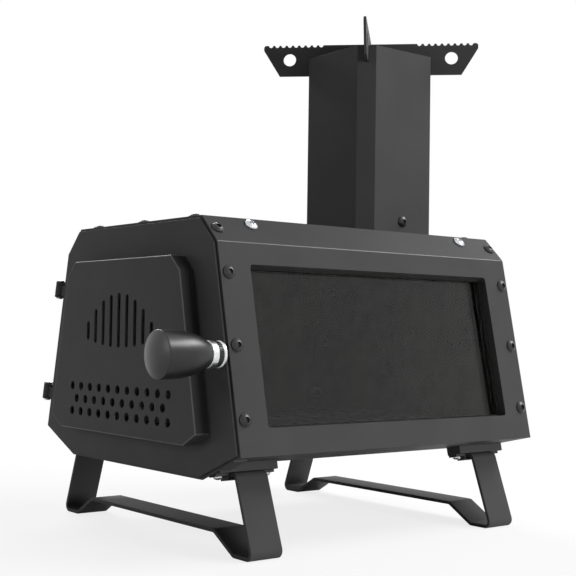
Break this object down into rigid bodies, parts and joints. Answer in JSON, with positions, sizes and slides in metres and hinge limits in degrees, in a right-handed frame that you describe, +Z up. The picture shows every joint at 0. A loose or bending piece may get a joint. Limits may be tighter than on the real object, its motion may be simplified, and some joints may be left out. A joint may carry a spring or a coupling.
{
  "type": "camping wood stove",
  "caption": "Portable wood stove: folded steel firebox with a glass side, a hinged door with a knob latch, a square flue topped by a crossed pot support, on strap legs.",
  "frame": {"origin": "on the floor under the middle of the bounding box", "axes": "+Z up; the door is at the -X end, the window faces -Y, the hinges are on the +Y side"},
  "size_m": [0.4008, 0.3148, 0.4578],
  "materials": {
    "heat_proof_black": "matt black heat-proof paint",
    "black_oxide_steel": "satin black oxide",
    "zinc_plated_steel": "bright zinc plate",
    "clear_stove_glass": "clear heat-proof glass",
    "glass_fibre_tape": "woven black tape",
    "polished_chrome": "polished chrome plate",
    "black_bakelite": "polished black moulding",
    "raw_steel": "plain mill steel"
  },
  "bodies": {
    "stove_body": {"front_panel": "heat_proof_black", "back_panel": "heat_proof_black", "top_panel": "heat_proof_black", "bottom_panel": "heat_proof_black", "door_frame": "heat_proof_black", "rear_end_plate": "heat_proof_black", "window_gasket": "glass_fibre_tape", "window_glass": "clear_stove_glass", "window_retainer": "heat_proof_black", "window_studs": "zinc_plated_steel", "window_nuts": "zinc_plated_steel", "front_panel_screws": "black_oxide_steel", "back_panel_screws": "black_oxide_steel", "top_panel_screws": "black_oxide_steel", "bottom_panel_screws": "black_oxide_steel", "panel_nuts": "zinc_plated_steel", "edge_screws": "zinc_plated_steel", "edge_nuts": "zinc_plated_steel", "flue_tube": "heat_proof_black", "flue_collar": "heat_proof_black", "flue_screws": "black_oxide_steel", "flue_nuts": "zinc_plated_steel", "door_end_leg": "heat_proof_black", "far_end_leg": "heat_proof_black", "saddle_door_front": "heat_proof_black", "saddle_door_back": "heat_proof_black", "saddle_far_front": "heat_proof_black", "saddle_far_back": "heat_proof_black", "leg_bar_door_front": "heat_proof_black", "leg_bar_door_back": "heat_proof_black", "leg_bar_far_front": "heat_proof_black", "leg_bar_far_back": "heat_proof_black", "door_skirt": "heat_proof_black", "saddle_screws": "zinc_plated_steel", "saddle_nuts": "zinc_plated_steel", "hinge_bracket_upper": "zinc_plated_steel", "hinge_bracket_lower": "zinc_plated_steel", "hinge_pin_upper": "zinc_plated_steel", "hinge_pin_lower": "zinc_plated_steel"},
    "door": {"door_plate": "heat_proof_black", "door_cover": "heat_proof_black", "door_knuckle_upper": "heat_proof_black", "door_knuckle_lower": "heat_proof_black"},
    "latch": {"latch_spindle": "zinc_plated_steel", "knob_ring": "polished_chrome", "knob_ferrule": "polished_chrome", "knob_collar": "black_bakelite", "knob_grip": "black_bakelite", "latch_bush": "zinc_plated_steel", "latch_tongue": "zinc_plated_steel", "latch_nut": "zinc_plated_steel"},
    "pot_support": {"pot_plate_lower": "heat_proof_black", "pot_plate_upper": "heat_proof_black"},
    "fire_grate": {"fire_grate": "raw_steel"}
  },
  "joints": [
    {"name": "door_hinge", "type": "hinge", "parent": "stove_body", "child": "door", "pos_m": [-0.13977, 0.15144, 0.11348], "axis": [0, 0.2112, -0.9774], "range_deg": [0, 120]},
    {"name": "latch_turn", "type": "hinge", "parent": "door", "child": "latch", "pos_m": [-0.14077, -0.13237, 0.155], "axis": [-1, 0, 0], "range_deg": [0, 90]},
    {"name": "pot_support_lift", "type": "slide", "parent": "stove_body", "child": "pot_support", "axis": [0, 0, 1], "range_m": [0, 0.05]},
    {"name": "fire_grate_lift", "type": "slide", "parent": "stove_body", "child": "fire_grate", "axis": [0, 0, 1], "range_m": [0, 0.03]}
  ]
}
